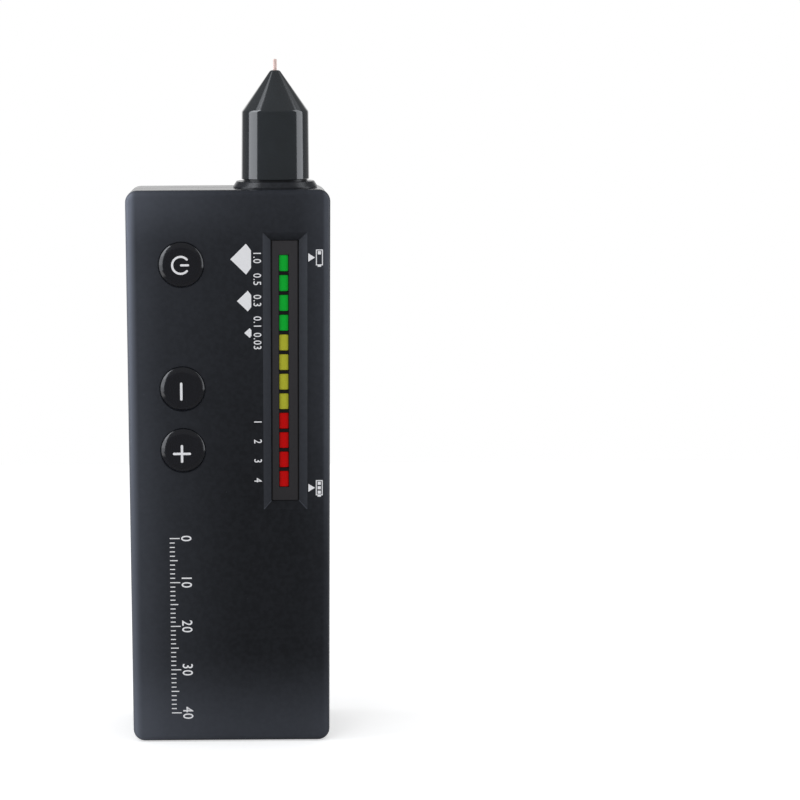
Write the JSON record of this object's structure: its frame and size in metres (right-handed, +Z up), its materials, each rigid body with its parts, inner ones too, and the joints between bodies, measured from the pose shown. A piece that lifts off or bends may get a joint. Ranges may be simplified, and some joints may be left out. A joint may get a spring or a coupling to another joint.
{
  "type": "gemstone tester pen",
  "caption": "Handheld gemstone tester with a spring-loaded heated probe, push buttons, a coloured lamp bar, a metal back plate and a charge socket in a two-part case.",
  "frame": {"origin": "middle of the bottom end, midway between front and back, on the surface that it stands on", "axes": "+Z up along the case towards the probe, -Y out of the front with the buttons, +X to the right seen from the front"},
  "size_m": [0.044, 0.0229, 0.1506],
  "materials": {
    "case_plastic": "fine satin texture",
    "nozzle_plastic": "high gloss",
    "button_plastic": "smooth gloss",
    "window_plastic": "satin",
    "green_lens": "tinted lens",
    "yellow_lens": "tinted lens",
    "red_lens": "tinted lens",
    "brushed_plate": "brushed lengthwise",
    "screw_steel": "bright plated",
    "steel": "plain",
    "copper": "polished copper",
    "spring_bronze": "bright wire",
    "white_plastic": "plain",
    "inner_plastic": "plain",
    "board_laminate": "solder mask",
    "chip_plastic": "moulded",
    "cell_foil": "foil pouch",
    "foam": "closed-cell foam tape",
    "lead_sleeve": "insulated wire"
  },
  "bodies": {
    "case": {"front_cover": "case_plastic", "rear_cover": "case_plastic", "nozzle_collar": "case_plastic", "probe_nozzle": "nozzle_plastic", "probe_guide": "white_plastic", "probe_spring": "steel", "probe_plug": "inner_plastic", "probe_leads": "lead_sleeve", "led_window": "window_plastic", "led_holder": "inner_plastic", "main_board": "board_laminate", "controller_chip": "chip_plastic", "charge_chip": "chip_plastic", "board_passives": "chip_plastic", "usb_shell": "steel", "usb_tongue": "inner_plastic", "battery_cell": "cell_foil", "battery_tape": "foam", "battery_leads": "lead_sleeve", "buzzer": "chip_plastic", "buzzer_seal": "foam", "contact_plate": "brushed_plate", "plate_spring": "spring_bronze", "case_screws": "screw_steel", "board_screws": "screw_steel", "power_switch": "inner_plastic", "minus_switch": "inner_plastic", "plus_switch": "inner_plastic", "green_lamp_1": "green_lens", "green_lamp_2": "green_lens", "green_lamp_3": "green_lens", "green_lamp_4": "green_lens", "yellow_lamp_1": "yellow_lens", "yellow_lamp_2": "yellow_lens", "yellow_lamp_3": "yellow_lens", "yellow_lamp_4": "yellow_lens", "red_lamp_1": "red_lens", "red_lamp_2": "red_lens", "red_lamp_3": "red_lens", "red_lamp_4": "red_lens"},
    "power_button": {"power_button": "button_plastic", "power_plunger": "white_plastic"},
    "minus_button": {"minus_button": "button_plastic", "minus_plunger": "white_plastic"},
    "plus_button": {"plus_button": "button_plastic", "plus_plunger": "white_plastic"},
    "probe": {"probe_tip": "copper", "probe_heater": "white_plastic"}
  },
  "joints": [
    {"name": "power_press", "type": "slide", "parent": "case", "child": "power_button", "axis": [0, 1, 0], "range_m": [0, 0.0005], "stiffness_N_per_m": 800, "springref_m": -0.0005},
    {"name": "minus_press", "type": "slide", "parent": "case", "child": "minus_button", "axis": [0, 1, 0], "range_m": [0, 0.0005], "stiffness_N_per_m": 800, "springref_m": -0.0005},
    {"name": "plus_press", "type": "slide", "parent": "case", "child": "plus_button", "axis": [0, 1, 0], "range_m": [0, 0.0005], "stiffness_N_per_m": 800, "springref_m": -0.0005},
    {"name": "probe_push", "type": "slide", "parent": "case", "child": "probe", "axis": [0, 0, -1], "range_m": [0, 0.0012], "stiffness_N_per_m": 600, "springref_m": -0.001, "deforming": ["probe_spring", "probe_leads"]}
  ]
}
